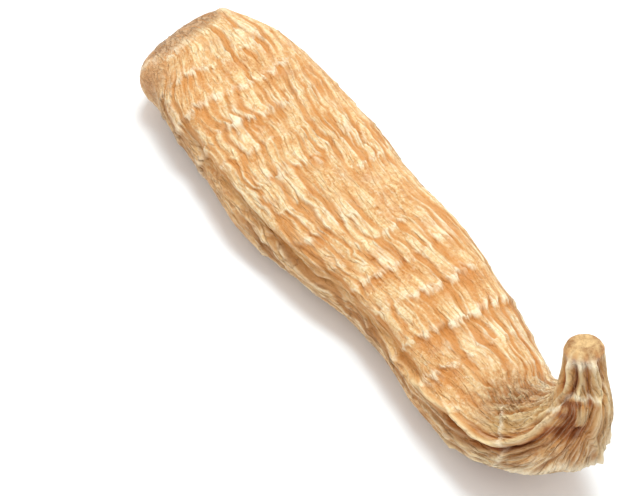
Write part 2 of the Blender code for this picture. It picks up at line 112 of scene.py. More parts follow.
# Pale buds on the rings, each at its way and turn.
BUDS = [
    (4.1, 0.10), (10.2, 0.12), (10.9, -0.12), (12.3, -0.09), (14.2, -0.01), (19.3, 0.08), (21.0, -0.09),
    (21.7, -0.03), (28.5, 0.02), (27.3, 0.075), (25.7, 0.11), (18.1, -0.20), (29.2, -0.08), (35.3, -0.05),
    (32.0, -0.22), (33.6, -0.17), (35.5, -0.17), (39.5, -0.15), (42.8, -0.05), (42.3, -0.24), (46.8, -0.13),
    (47.5, -0.11), (49.6, 0.02), (49.4, 0.07), (54.1, -0.18), (55.5, -0.09), (59.0, -0.15), (56.9, -0.02),
    (62.5, -0.06), (63.7, 0.0), (77.0, -0.10), (76.6, -0.08), (78.3, -0.03), (78.4, 0.0), (78.0, 0.02),
    (77.8, 0.07), (76.6, 0.13), (84.6, -0.07), (85.4, -0.05), (86.2, -0.02), (85.8, 0.01), (84.4, 0.10),
    (93.0, -0.16), (93.6, -0.13), (99.9, 0.06), (99.4, 0.11), (70.3, -0.07), (68.6, -0.13), (70.4, 0.13),
]

# Orange stains on the skin: way, turn, reach and depth.
STAINS = [
    (31.0, 0.0, 1.8, 0.9), (31.2, 0.025, 1.5, 0.6), (11.4, -0.15, 2.2, 0.7), (18.7, -0.175, 2.0, 0.6),
    (10.4, 0.02, 2.0, 0.5), (27.6, -0.12, 1.6, 0.6), (51.0, -0.055, 2.2, 0.5), (49.8, -0.085, 1.6, 0.4),
    (80.0, -0.03, 2.2, 0.7), (81.5, 0.035, 2.0, 0.8), (71.5, 0.13, 2.0, 0.6), (101.0, 0.10, 3.5, 0.7),
    (88.0, -0.05, 2.0, 0.5), (74.6, 0.02, 1.8, 0.5), (68.0, -0.02, 1.6, 0.4), (36.0, 0.08, 3.0, 0.5),
    (42.0, 0.085, 3.0, 0.5), (95.0, 0.03, 2.4, 0.5), (60.5, 0.11, 1.6, 0.5), (88.5, 0.12, 2.2, 0.5),
    (45.2, -0.032, 1.0, 0.9),
]

# Dark specks: way and turn.
SPECKS = [
    (8.8, 0.089), (10.0, -0.118), (30.9, -0.017), (31.4, -0.03), (66.6, -0.081), (66.9, -0.075),
    (27.4, 0.056), (58.8, 0.028), (37.5, 0.09), (82.0, 0.03), (46.0, -0.02), (63.0, -0.19),
    (22.6, 0.015), (90.5, -0.1),
]

# A round bud scar on top: way and turn.
EYE = (44.9, -0.014)

# The groove along the side that faces the camera: way and turn.
SIDE_GROOVE = [
    (26, -0.212), (36, -0.208), (49, -0.221), (63, -0.203), (72, -0.207), (80, -0.187), (88, -0.19),
]
SIDE_GROOVE_DEPTH = 1.5
SIDE_GROOVE_HALF_WIDTH = 1.5
SIDE_GROOVE_FADE = 6.0

# Ridges and grooves that run lengthwise over the hook and up the stub: height, half width and (way, turn).
HOOK_RIDGES = [
    (1.15, 0.65, [(90, -0.205), (94, -0.198), (98, -0.185), (101, -0.187), (103.8, -0.199),
                  (105.2, -0.203), (107.6, -0.202), (109.5, -0.198), (111, -0.193), (113, -0.192),
                  (115, -0.191), (117.2, -0.188)]),
    (0.9, 0.45, [(116.5, -0.148), (119, -0.158), (120.8, -0.172), (122.5, -0.21), (125.4, -0.22),
                 (129.5, -0.204)]),
    (0.5, 0.45, [(116, -0.182), (118, -0.184), (119.5, -0.19), (121.3, -0.225)]),
    (0.45, 0.4, [(114, -0.12), (115.3, -0.107), (117.4, -0.072), (119.5, -0.09), (121.5, -0.12)]),
    (0.6, 0.5, [(121.3, -0.272), (123.2, -0.288), (126.5, -0.3), (129.5, -0.29)]),
    (1.0, 0.65, [(115.5, -0.48), (116.7, -0.455), (118, -0.41), (119.4, -0.394), (120.6, -0.399),
                 (121.8, -0.398), (123.2, -0.425), (126.1, -0.415), (129.5, -0.39)]),
    (0.5, 0.4, [(108.9, -0.245), (110.2, -0.228), (111.4, -0.214), (113.1, -0.206), (115, -0.22)]),
    (0.45, 0.4, [(100, -0.255), (103.8, -0.25), (106.2, -0.239), (108.3, -0.229)]),
    (0.45, 0.4, [(101, -0.285), (103, -0.278), (105, -0.266), (106.9, -0.258), (108.8, -0.243)]),
    (0.5, 0.45, [(96, -0.3), (100, -0.31), (103.3, -0.305), (105.5, -0.29), (107.6, -0.273)]),
    (0.9, 0.45, [(115.2, -0.327), (116.2, -0.315), (117.3, -0.303)]),
    (0.45, 0.35, [(99.5, -0.06), (101.1, -0.04), (103, 0.0)]),
    (0.45, 0.35, [(101.5, -0.075), (102.8, -0.056), (105, -0.017), (106.5, 0.0)]),
    (0.45, 0.35, [(104.5, -0.09), (106.4, -0.068), (109.3, -0.046)]),
    (0.45, 0.35, [(106.5, -0.115), (108.6, -0.1), (111.2, -0.074)]),
]
HOOK_GROOVES = [
    (1.4, 0.55, [(99, -0.207), (101.9, -0.214), (104.3, -0.224), (106.7, -0.225), (109.5, -0.221),
                 (111.4, -0.217), (113.4, -0.215), (115, -0.214)]),
    (0.45, 0.6, [(104, -0.183), (107, -0.182), (109.5, -0.173), (112, -0.165), (115, -0.162)]),
    (0.5, 0.5, [(123, -0.155), (124.2, -0.153), (126.1, -0.14), (129.5, -0.15)]),
    (0.9, 0.5, [(121, -0.205), (122.3, -0.232), (123.9, -0.252), (125.8, -0.264), (129.5, -0.242)]),
    (0.6, 0.5, [(122, -0.353), (124, -0.353), (126.1, -0.35), (129.5, -0.34)]),
    (0.7, 0.5, [(121.5, -0.437), (122.7, -0.447), (125.4, -0.47), (129.5, -0.449)]),
    (0.5, 0.4, [(103.5, -0.062), (105.7, -0.042), (107.5, -0.02)]),
    (0.5, 0.4, [(105.5, -0.095), (107.5, -0.078), (110, -0.058)]),
    (0.5, 0.5, [(119, 0.03), (129.5, 0.03)]),
    (0.5, 0.5, [(117, 0.14), (129.5, 0.14)]),
    (0.5, 0.5, [(116, 0.3), (129.5, 0.3)]),
]
# The hollow behind the collar, and the pocket at its end: way, turn and reach of the places that are sunk.
HOLLOW = [
    (110.5, -0.225, 1.0), (112.3, -0.237, 1.4), (114.2, -0.255, 1.8), (115.5, -0.285, 2.1),
    (115.8, -0.32, 2.1), (116.4, -0.36, 2.1), (117.3, -0.385, 1.6),
]
HOLLOW_DEPTH = 1.5
POCKET = [
    (119.4, -0.285, 1.3), (118.6, -0.25, 1.1), (119.8, -0.35, 1.1), (118.2, -0.32, 1.4),
    (117.0, -0.25, 1.1),
]
POCKET_DEPTH = 1.9
POCKET_LUMP = (119.6, -0.322)

# Painted shade round the pocket's lump, where it is darkest: way, turn and reach.
POCKET_SHADE = [
    (121.3, -0.285, 0.6), (120.9, -0.25, 0.7), (119.6, -0.262, 0.8), (118.2, -0.285, 0.9),
    (117.9, -0.33, 0.8), (116.4, -0.21, 0.7), (118.9, -0.215, 0.5),
]

# The collar's edge, the last bud scar and the hem of the stub's skin go round the hook: turn and way.
COLLAR_EDGE = np.array([
    (0.2, 113.5), (0.3, 115.5), (0.4, 116.8), (0.483, 117.2), (0.503, 116.4), (0.514, 115.6),
    (0.545, 114.6), (0.565, 114.2), (0.594, 113.5), (0.626, 113.5), (0.65, 112.9), (0.663, 111.9),
    (0.672, 111.0), (0.694, 110.4), (0.704, 109.4), (0.725, 108.0),
])
LAST_SCAR = np.array([
    (0.7, 106.8), (0.721, 107.6), (0.75, 108.8), (0.79, 109.9), (0.81, 109.3), (0.86, 108.1),
    (0.892, 107.1), (0.93, 105.5),
])
STUB_HEM = np.array([
    (0.6, 121.5), (0.632, 122.0), (0.66, 122.5), (0.69, 122.6), (0.72, 122.2), (0.746, 121.9),
    (0.77, 121.4), (0.79, 120.9), (0.815, 119.5), (0.84, 118.0),
])

# Single places of the hooked end: way and turn.
CREASE = (105.5, -0.045)
DIMPLE = (110.5, -0.012)
RIDGE_KNOB = (116.9, -0.187)
HOOK_SWELLING = (114.6, -0.45)

# The rim round the blunt end's face, where it shows on top: turn from the top, and way.
END_RIM = np.array([
    (-0.25, 2.0), (-0.17, 3.2), (-0.13, 4.2), (-0.09, 5.5), (0.05, 5.7), (0.08, 5.0), (0.12, 4.0),
    (0.25, 2.5),
])

# Rows of the solid's mesh, which place its box, and of the fine skin's.
SOLID_ROWS = dict(blunt_rows=5, rows_per_ring=3, hook_rows=15, tip_rows=4)
SOLID_COLUMNS = 92
SKIN_ROWS = dict(blunt_rows=14, rows_per_ring=11, hook_rows=54, tip_rows=12)
SKIN_COLUMNS = 416

# Camera: the view that the photograph was taken from, and its focal length for a 36 mm wide sensor.
CAMERA_AZIMUTH = 57.0
CAMERA_ELEVATION = 52.0
CAMERA_DISTANCE = 420.0
CAMERA_LENS = 141.9
CAMERA_AIM_RIGHT = -10.5
CAMERA_AIM_UP = -0.86

# The key light, placed from the origin in metres as the camera sees it, and the sky.
KEY_RIGHT = 0.08
KEY_BEHIND = 0.2
KEY_HEIGHT = 0.72
KEY_SIZE = 0.3
KEY_POWER = 4.75
KEY_COLOUR = (0.83, 0.95, 0.97)
SKY_COLOUR = (1.0, 0.94, 0.88, 1)

# Colours of the skin. The ramp runs from the furrows up to the crests.
SKIN_RAMP = [
    (0.25, (0.46, 0.19, 0.054, 1)),
    (0.45, (0.63, 0.345, 0.135, 1)),
    (0.6, (0.73, 0.49, 0.24, 1)),
    (0.8, (0.81, 0.635, 0.37, 1)),
    (0.95, (0.83, 0.73, 0.51, 1)),
]
PINK = (0.60, 0.34, 0.20, 1)
FLECK_BROWN = (0.56, 0.30, 0.16, 1)
CRUST = (0.86, 0.76, 0.56, 1)
# The bare skin's browns, darkened as painted shade.
BARE_DARK = (0.36, 0.19, 0.09, 1)
BARE_LIGHT = (0.64, 0.44, 0.28, 1)
CRINKLE_BROWN = (0.28, 0.12, 0.04, 1)
# Painted shade: the tint of the shaded sides.
SHADED_SIDE_TINT = (0.56, 0.27, 0.08, 1)
# The skin's orange in the furrows, deepened as painted shade and painted glow.
FURROW_ORANGE = (0.57, 0.22, 0.045, 1)
# Painted shade: the next two browns, for the furrows and the lines of the shaded sides.
SHADED_FURROW_BROWN = (0.30, 0.11, 0.025, 1)
SHADED_LINE_BROWN = (0.26, 0.095, 0.02, 1)
CAP_DARK = (0.26, 0.11, 0.03, 1)
CAP_LIGHT = (0.68, 0.46, 0.22, 1)
RIDGE_PALE = (0.83, 0.67, 0.39, 1)
# Painted shade with brown in the hollow, pocket and grooves, and its deepest part.
HOLLOW_BROWN_AND_SHADE = (0.50, 0.185, 0.03, 1)
DEEP_BROWN_AND_SHADE = (0.30, 0.075, 0.008, 1)
CHALK = (0.86, 0.77, 0.60, 1)
FLOOR_WHITE = (0.86, 0.87, 0.90, 1)

# Coats that lie evenly over their marks: mark, strength and colour.
PLAIN_COATS = [
    ("stain", 0.8, (0.54, 0.22, 0.05, 1)),
    ("olive", 0.6, (0.49, 0.30, 0.105, 1)),
    # Partly painted shade: orange in the side groove and along the side that holds it.
    ("groove", 0.45, (0.68, 0.33, 0.085, 1)),
]


def smooth_curve(knots, values, at):
    """A smooth curve through the rows of values at the knots, read at the places in at."""
    slopes = np.gradient(values, knots, axis=0)
    left = np.clip(np.searchsorted(knots, at) - 1, 0, len(knots) - 2)
    gap = (knots[left + 1] - knots[left])[:, None]
    t = (at - knots[left])[:, None] / gap
    ends = (2 * t**3 - 3 * t**2 + 1) * values[left] + (3 * t**2 - 2 * t**3) * values[left + 1]
    tangents = (t**3 - 2 * t**2 + t) * slopes[left] + (t**3 - t**2) * slopes[left + 1]
    return ends + gap * tangents


def centre_line():
    """The way along the centre line, with the section numbers, direction and width direction there."""
    numbers = SECTIONS * SECTION_UNITS
    chord = np.r_[0.0, np.cumsum(np.linalg.norm(np.diff(numbers[:, :3], axis=0), axis=1))]
    sections = smooth_curve(chord, numbers, np.linspace(0.0, chord[-1], LINE_POINTS))
    way = np.r_[0.0, np.cumsum(np.linalg.norm(np.diff(sections[:, :3], axis=0), axis=1))]
    ahead = np.gradient(sections[:, :3], way, axis=0)
    ahead /= np.linalg.norm(ahead, axis=1)[:, None]
    side = np.array([0.0, 1.0, 0.0])
    sides = np.empty_like(ahead)
    for k, direction in enumerate(ahead):
        side = side - direction * (side @ direction)
        side /= np.linalg.norm(side)
        sides[k] = side
    return way, sections, ahead, sides


CENTRE_LINE = centre_line()
TOTAL = CENTRE_LINE[0][-1]


def read_rows(way, table, at):
    """The rows of a table kept along the way, read at the places in at."""
    return np.stack([np.interp(at, way, column) for column in table.T], axis=1)


def between(table, row, column):
    """A table read between its rows and columns."""
    i = np.clip(np.floor(row).astype(int), 0, table.shape[0] - 2)
    j = np.clip(np.floor(column).astype(int), 0, table.shape[1] - 2)
    a, b = row - i, column - j
    near = table[i, j] * (1 - b) + table[i, j + 1] * b
    far = table[i + 1, j] * (1 - b) + table[i + 1, j + 1] * b
    return near * (1 - a) + far * a


def end_taper(way):
    """How full the section is, from 0 at both poles to 1 past the end caps."""
    blunt = np.clip(1 - way / BLUNT_CAP, 0, 1)
    tip = np.clip(1 - (TOTAL - way) / TIP_CAP, 0, 1)
    return (1 - blunt**BLUNT_POWER) ** (1 / BLUNT_POWER) * (1 - tip**TIP_POWER) ** (1 / TIP_POWER)


def section_outline(reach):
    """A closed section from the top round by +Y: its lift, its sideways offset and the arc length there."""
    left, right, over, under, square = reach
    angle = np.linspace(0, 2 * math.pi, OUTLINE_POINTS)
    c, s = np.cos(angle), np.sin(angle)
    lift = np.sign(c) * abs(c) ** (2 / square) * np.where(c > 0, over, under)
    aside = np.sign(s) * abs(s) ** (2 / square) * np.where(s > 0, right, left)
    arc = np.r_[0.0, np.cumsum(np.hypot(np.diff(lift), np.diff(aside)))]
    return lift, aside, arc


def girth_at(way):
    """The girth of the full section for each way."""
    numbers = read_rows(CENTRE_LINE[0], CENTRE_LINE[1], way)
    return np.array([section_outline(row[3:])[2][-1] for row in numbers])


def plain_points(way, turn):
    """Points of the plain form, for a table of ways and turns."""
    flat_way = way.ravel()
    line, sections, ahead, sides = CENTRE_LINE
    stations = np.linspace(0, TOTAL, FORM_STATIONS)
    outlines = [section_outline(row[3:]) for row in read_rows(line, sections, stations)]
    shares = np.linspace(0, 1, OUTLINE_POINTS)
    lifts = np.stack([np.interp(shares * arc[-1], arc, lift) for lift, aside, arc in outlines])
    asides = np.stack([np.interp(shares * arc[-1], arc, aside) for lift, aside, arc in outlines])
    row = flat_way / TOTAL * (len(stations) - 1)
    column = (turn.ravel() % 1.0) * (len(shares) - 1)
    taper = end_taper(flat_way)[:, None]
    lift = between(lifts, row, column)[:, None] * taper
    aside = between(asides, row, column)[:, None] * taper
    centre = read_rows(line, sections[:, :3], flat_way)
    forward = read_rows(line, ahead, flat_way)
    width = read_rows(line, sides, flat_way)
    upward = np.cross(forward, width)
    return (centre + lift * upward + aside * width).reshape(way.shape + (3,))


def outward(way, turn):
    """The direction out of the plain form."""
    step, swing = 0.05, 0.002
    before = np.clip(way - step, 0, TOTAL)
    after = np.clip(way + step, 0, TOTAL)
    ahead = plain_points(after, turn) - plain_points(before, turn)
    around = plain_points(way, turn + swing) - plain_points(way, turn - swing)
    normal = np.cross(ahead, around)
    normal[0] = -CENTRE_LINE[2][0]
    normal[-1] = CENTRE_LINE[2][-1]
    return normal / np.linalg.norm(normal, axis=2)[..., None]


def skin_spread(way, reach, hold):
    """Weights that smooth a pattern along the way, less across a bud ring."""
    apart = way[:, None] - way[None, :]
    ring = np.searchsorted(RINGS[:, 0], way)
    weights = np.exp(-0.5 * (apart / reach) ** 2) * hold ** abs(ring[:, None] - ring[None, :])
    return weights / weights.sum(axis=1, keepdims=True)


def grow_folds(seed, spacing, stretch, hold, rounds=3, gain=1.0, rows=261, lanes=512):
    """Folds that run lengthwise, fork and end, from -1 in the furrows to 1 on the crests.

    Noise is passed again and again through a filter that keeps one spacing round the girth and smooths
    along the body. hold is the share of a fold that carries on past a bud ring.
    """
    way = np.linspace(0, TOTAL, rows)
    waves = np.arange(lanes // 2 + 1)[None, :] / girth_at(way)[:, None]
    near = spacing / 5.7
    far = 1.6 * near
    keep = np.exp(-2 * (math.pi * near * waves) ** 2)
    keep = keep - np.exp(-2 * (math.pi * far * waves) ** 2)
    spread = skin_spread(way, stretch, hold)
    folds = np.random.default_rng(seed).standard_normal((rows, lanes))
    for _ in range(rounds):
        folds = np.fft.irfft(np.fft.rfft(spread @ folds, axis=1) * keep, lanes, axis=1)
        folds = np.tanh(gain * folds / folds.std())
    return np.concatenate([folds, folds[:, :1]], axis=1)


def grow_noise(seed, along, across, rows=261, lanes=512):
    """Plain soft noise with a mean of 0 and a spread of 1, of this grain along the body and round it."""
    way = np.linspace(0, TOTAL, rows)
    waves = np.arange(lanes // 2 + 1)[None, :] / girth_at(way)[:, None]
    keep = np.exp(-0.5 * (2 * math.pi * across / 2.5 * waves) ** 2)
    noise = np.random.default_rng(seed).standard_normal((rows, lanes))
    spread = skin_spread(way, along / 2.5, 1.0) @ noise
    noise = np.fft.irfft(np.fft.rfft(spread, axis=1) * keep, lanes, axis=1)
    noise /= noise.std()
    return np.concatenate([noise, noise[:, :1]], axis=1)


def read_skin(table, grown, lane):
    """A pattern of the skin, read at places on it."""
    rows, lanes = table.shape
    return between(table, grown / TOTAL * (rows - 1), (lane % 1.0) * (lanes - 1))


def kink(grown):
    """How far the small wrinkles jump aside at each ring, added up along the body."""
    jumps = 0.3 * np.sin(2.4 * np.arange(len(RINGS)) + 0.6)
    return sum(jump * ramp(grown, ring - 0.5, ring + 0.5) for jump, ring in zip(jumps, RINGS[:, 0]))


def bow(grown, lane):
    """How far the rings bow back towards the blunt end at the sides of the body."""
    body = np.clip((grown - 3) / 12, 0, 1) * np.clip((106 - grown) / 14, 0, 1)
    return RING_BOW * body * 0.5 * (1 - np.cos(4 * math.pi * lane))


def sway(grown, lane):
    """How far the folds swing aside from a straight line along the body."""
    drift = np.interp(grown, FOLD_DRIFT[:, 0], FOLD_DRIFT[:, 1])
    swings = 0.6 * read_skin(grow_noise(5, 14, 14), grown, lane)
    swings += 0.15 * read_skin(grow_noise(6, 5, 6), grown, lane)
    ends = np.clip(grown / 8, 0, 1) * np.clip((TOTAL - grown) / 30, 0, 1)
    return drift * np.clip(grown / 3, 0, 1) * np.clip((TOTAL - grown) / 20, 0, 1) + ends * swings


def bump(distance, half_width):
    """A soft rise of height 1 at distance 0."""
    return np.exp(-((distance / half_width) ** 2))


def ramp(value, start, end):
    """From 0 at start to 1 at end, with soft corners."""
    t = np.clip((value - start) / (end - start), 0, 1)
    return t * t * (3 - 2 * t)


class Skin:
    """Where the vertices lie on the skin, with a row for each grown distance, and the folds there.

    strength is how high the folds are, crests how far up a fold a place is, and edge what frays the rings.
    """

    def __init__(self, rows, columns):
        self.grown, self.lane = np.meshgrid(rows, np.arange(columns) / columns, indexing="ij")
        self.way = np.clip(self.grown - bow(self.grown, self.lane), 0, TOTAL)
        self.to_tip = TOTAL - self.way
        self.girth = np.maximum(girth_at(self.way[:, 0])[:, None], 1.0)
        self.turn = self.lane + sway(self.grown, self.lane) / self.girth
        self.from_top = (self.turn + 0.5) % 1.0 - 0.5
        self.past_rim = self.way - np.interp(self.from_top, END_RIM[:, 0], END_RIM[:, 1])
        self.strength = fold_strength(self)
        self.strength *= np.clip(0.9 + 0.3 * self.read(grow_noise(10, 8, 6)), 0.5, 1.3)
        self.fold_table = grow_folds(21, FOLD_SPACING, 3.6, 0.45)
        self.crests = (0.5 + 0.5 * self.read(self.fold_table)) ** 0.8
        self.edge = self.crests

    def read(self, table):
        """A grown pattern at every vertex."""
        return read_skin(table, self.grown, self.lane)

    def aside(self, turn):
        """How far each vertex lies from a lengthwise line, round the body."""
        return ((self.turn - turn + 0.5) % 1.0 - 0.5) * self.girth

    def spot(self, place, half_length, half_width):
        """A soft rise of height 1 round one place (way, turn)."""
        along = (self.way - place[0]) / half_length
        return np.exp(-(along**2) - (self.aside(place[1]) / half_width) ** 2)

    def union(self, places):
        """From 0 to 1 over a run of places (way, turn, reach) that melt into one another."""
        outside = 1.0
        for way, turn, reach in places:
            outside = outside * (1 - self.spot((way, turn), reach, reach))
        return 1 - outside

    def stroke(self, path, half_width, soft):
        """A stroke of height 1 along a path of (way, turn) points, fading out at its ends."""
        path = np.array(path)
        line = np.interp(self.way, path[:, 0], path[:, 1])
        starts, ends = path[0, 0], path[-1, 0]
        inside = ramp(self.way, starts - soft, starts) * ramp(self.way, ends + soft, ends)
        return bump(self.aside(line), half_width) * inside

    def band(self, path, half_width, ahead=0.0):
        """A stroke of height 1 round the body along a path of (turn, way) points, moved ahead by this."""
        around = self.turn % 1.0
        line = np.interp(around, path[:, 0], path[:, 1])
        starts, ends = path[0, 0], path[-1, 0]
        inside = ramp(around, starts - 0.02, starts + 0.02) * ramp(around, ends + 0.02, ends - 0.02)
        return bump(self.way - ahead - line, half_width) * inside

    def side_groove(self):
        """A stroke of height 1 along the groove in the side."""
        return self.stroke(SIDE_GROOVE, SIDE_GROOVE_HALF_WIDTH, SIDE_GROOVE_FADE)


class FineSkin(Skin):
    """The skin with plates of three sizes (folds, middle, small), their rims and other fine patterns."""

    def __init__(self, rows, columns):
        super().__init__(rows, columns)
        quiver = 0.2 * self.read(grow_noise(7, 1.8, 2.5)) + 0.2 * self.read(grow_noise(17, 4, 5))
        bent = self.lane + (quiver + kink(self.grown)) / self.girth
        self.power = self.strength * np.clip(0.9 + 0.3 * self.read(grow_noise(16, 6, 5)), 0.4, 1.4)
        middle_table = grow_folds(22, 2.7, 3.2, 0.45)
        small_table = grow_folds(23, 1.3, 1.8, 0.4, rounds=2, gain=0.9)
        quivering = self.lane + quiver / self.girth
        self.folds, self.fold_rims = self.plates(self.fold_table, quivering, 0.8, 0.22)
        self.middle, self.middle_rims = self.plates(middle_table, bent, 0.6, 0.17)
        self.small, self.small_rims = self.plates(small_table, bent, 0.65, 0.13)
        rims = np.maximum(0.7 * self.fold_rims, np.maximum(self.middle_rims, 0.7 * self.small_rims))
        self.rims = np.clip(rims, 0, 1)
        self.edge = 0.3 * self.crests + 0.45 * self.middle + 0.25 * self.small
        self.hem_ahead = 1.4 * (self.edge - 0.5)
        self.rings, self.past, self.ring_strength = ring_relief(self)
        self.crumple = 1 - abs(self.read(grow_noise(14, 0.8, 2.0)))
        self.crumpled = self.spot(CREASE, 5, 6)
        self.hooked = ramp(self.way, 96, 106) * ramp(self.to_tip, 1.5, 2.6)
        self.sides = ramp(abs(self.from_top), 0.17, 0.24)
        self.near_end = 0.4 * ramp(self.way, 45, 25)
        self.behind_ring = self.ring_strength * bump(self.past - 0.9, 2.0) * ramp(self.past, -0.2, 0.5)
        self.buds = sum(self.spot(place, 0.55, 0.65) for place in BUDS)
        self.from_eye = np.hypot(self.way - EYE[0], (self.turn - EYE[1]) * self.girth)

    def plates(self, table, lane, level, soft):
        """Flat plates with raised rims where a folded pattern is high, over channels where it is low.

        Gives the plates and the rims, both from 0 to 1.
        """
        step = 0.15 / self.girth
        here = read_skin(table, self.grown, lane)
        across = read_skin(table, self.grown, lane + step) - read_skin(table, self.grown, lane - step)
        inside = (here + level) / np.maximum(abs(across) / 0.3, 0.35)
        return 0.5 + 0.5 * np.tanh(inside / soft), bump(inside - 1.1 * soft, 0.9 * soft)


def fold_strength(skin):
    """Where the folds are high and where the skin is drawn smooth."""
    ends = ramp(skin.way, 1.0, 9.0) * (1 - 0.5 * ramp(skin.way, 118, 122)) * ramp(skin.to_tip, 1.3, 2.2)
    smooth_flank = 0.25 * skin.spot((31, 0.2), 12, 5)
    smooth_corner = 0.7 * skin.spot((8, -0.2), 5, 6)
    in_crease = 0.7 * skin.spot(CREASE, 6, 7)
    return ends * (1 - smooth_flank) * (1 - smooth_corner) * (1 - in_crease)


def hook_relief(skin, widen):
    """Ridges, grooves, hollow, pocket and collar of the hooked end. widen makes the bands wider."""
    relief = 0.0
    for height, half_width, path in HOOK_RIDGES:
        relief = relief + height * skin.stroke(path, half_width, soft=2.5)
    for depth, half_width, path in HOOK_GROOVES:
        relief = relief - depth * skin.stroke(path, half_width, soft=2.0)
    relief = relief * ramp(skin.to_tip, 1.3, 2.4)
    relief -= HOLLOW_DEPTH * skin.union(HOLLOW)
    relief -= POCKET_DEPTH * skin.union(POCKET)
    relief += 2.6 * skin.spot(POCKET_LUMP, 1.5, 1.1)
    relief += 0.8 * skin.band(COLLAR_EDGE, 0.65 + widen)
    relief += 0.3 * skin.band(LAST_SCAR, 0.45 + widen)
    relief += 0.4 * skin.band(STUB_HEM, 0.5 + widen)
    relief += 0.9 * skin.spot(HOOK_SWELLING, 2.5, 3.0)
    relief -= 1.2 * skin.spot(CREASE, 5.5, 6.5)
    return relief


def blunt_relief(skin):
    """The rim and the sunk face of the blunt end, and the round scar in its middle."""
    on_top = ramp(abs(skin.from_top), 0.24, 0.12)
    face = 0.45 * bump(skin.past_rim, 0.5) - 0.45 * ramp(-skin.past_rim, 0.0, 1.6)
    share = end_taper(skin.way)
    scar = (skin.way < BLUNT_CAP) * (0.5 * bump(share - 0.42, 0.1) - 1.3 * bump(share, 0.3))
    return on_top * face + scar


def tip_rim(skin):
    """The rim round the dried cut face of the stem stub, and the slight dish in that face."""
    share = end_taper(skin.way)
    tip = skin.way > TOTAL - TIP_CAP
    return 0.15 * bump(skin.to_tip - 1.5, 0.5) - tip * 0.4 * bump(share, 0.6)


def dents(skin):
    """Broad dents and swellings of the drying body."""
    turn = 2 * math.pi * skin.lane
    long_dents = 0.4 * np.sin(skin.grown / 6.1 + 2 * np.cos(turn)) * np.cos(2 * turn + skin.grown / 11)
    cross_dents = 0.3 * np.sin(3 * turn - skin.grown / 7.7 + 1.3)
    return (long_dents + cross_dents) * ramp(skin.grown, 0, 10) * ramp(skin.grown, 112, 100)


def ring_relief(skin):
    """Bud rings: the skin rises to each ring, ends in a zigzag edge and drops to the next stretch.

    Gives the relief, how far past its ring each place lies, and how strong that ring is there.
    """
    patches = np.clip(0.6 + 0.5 * skin.read(grow_noise(8, 5, 5)), 0, 1.4)
    halfway = 0.5 * (RINGS[1:, 0] + RINGS[:-1, 0])
    nearest = np.searchsorted(halfway, skin.grown)
    past = skin.grown - RINGS[nearest, 0] - RING_ZIGZAG * (skin.edge - 0.5)
    over = ramp(past, -0.3, 0.7)
    rise = bump(np.minimum(past, 0), 2.2) * (1 - over)
    drop = bump(np.maximum(past, 0), 1.8) * over
    strength = RINGS[nearest, 1] * patches
    return RING_HEIGHT * strength * (0.6 * rise - 0.45 * drop), past, strength


def flat_spot(skin):
    """The skin pressed down to the level that the tuber rests on."""
    along = bump(skin.way - REST_SPOT_WAY, REST_SPOT_REACH)
    across = bump((skin.turn % 1.0 - 0.5) * skin.girth, REST_SPOT_HALF_WIDTH)
    return REST_SPOT_PRESS * along * across


def broad_relief(skin, widen):
    """Everything but folds and rings: dents, hook, both ends, side groove and flat spot."""
    relief = dents(skin) + hook_relief(skin, widen) + blunt_relief(skin) + tip_rim(skin)
    return relief - SIDE_GROOVE_DEPTH * skin.side_groove() + flat_spot(skin)


def raise_from_form(skin, relief):
    """The vertices, raised by the relief from the plain form and pressed flat underneath."""
    relief[0] = relief[0].mean()
    relief[-1] = relief[-1].mean()
    points = plain_points(skin.way, skin.turn) + relief[..., None] * outward(skin.way, skin.turn)
    points[..., 2] = np.maximum(points[..., 2], REST_LEVEL)
    return points


def skin_rows(blunt_rows, rows_per_ring, hook_rows, tip_rows, lead=1 / 6):
    """Grown distances of the rows of the mesh, closer together at the end caps and at the rings."""
    blunt_angle = np.linspace(0, math.pi / 2, blunt_rows + 1)[:-1]
    blunt = BLUNT_CAP * (1 - np.cos(blunt_angle) ** (2 / BLUNT_POWER))
    share = (np.arange(len(RINGS) * rows_per_ring) + 0.5) / rows_per_ring
    bunched = share - 0.6 * np.sin(2 * math.pi * share) / (2 * math.pi) - lead
    knots = np.r_[2 * RINGS[0, 0] - RINGS[1, 0], RINGS[:, 0], 2 * RINGS[-1, 0] - RINGS[-2, 0]]
    body = np.interp(bunched, np.arange(-1, len(RINGS) + 1), knots)
    body = body[body > BLUNT_CAP + 0.3]
    hook = np.linspace(body[-1], TOTAL - TIP_CAP, hook_rows + 1)[1:]
    tip_angle = np.linspace(0, math.pi / 2, tip_rows + 1)[:-1]
    tip = TOTAL - TIP_CAP * (1 - np.cos(tip_angle) ** (2 / TIP_POWER))
    return np.r_[blunt, body, hook, tip[::-1]]


def solid_points():
    """The solid's own points, which place the fine skin on it."""
    skin = Skin(skin_rows(**SOLID_ROWS), SOLID_COLUMNS)
    relief = FOLD_HEIGHT * skin.strength * (skin.crests - FOLD_LEVEL)
    relief += ring_relief(skin)[0]
    return raise_from_form(skin, relief + broad_relief(skin, widen=0.5))


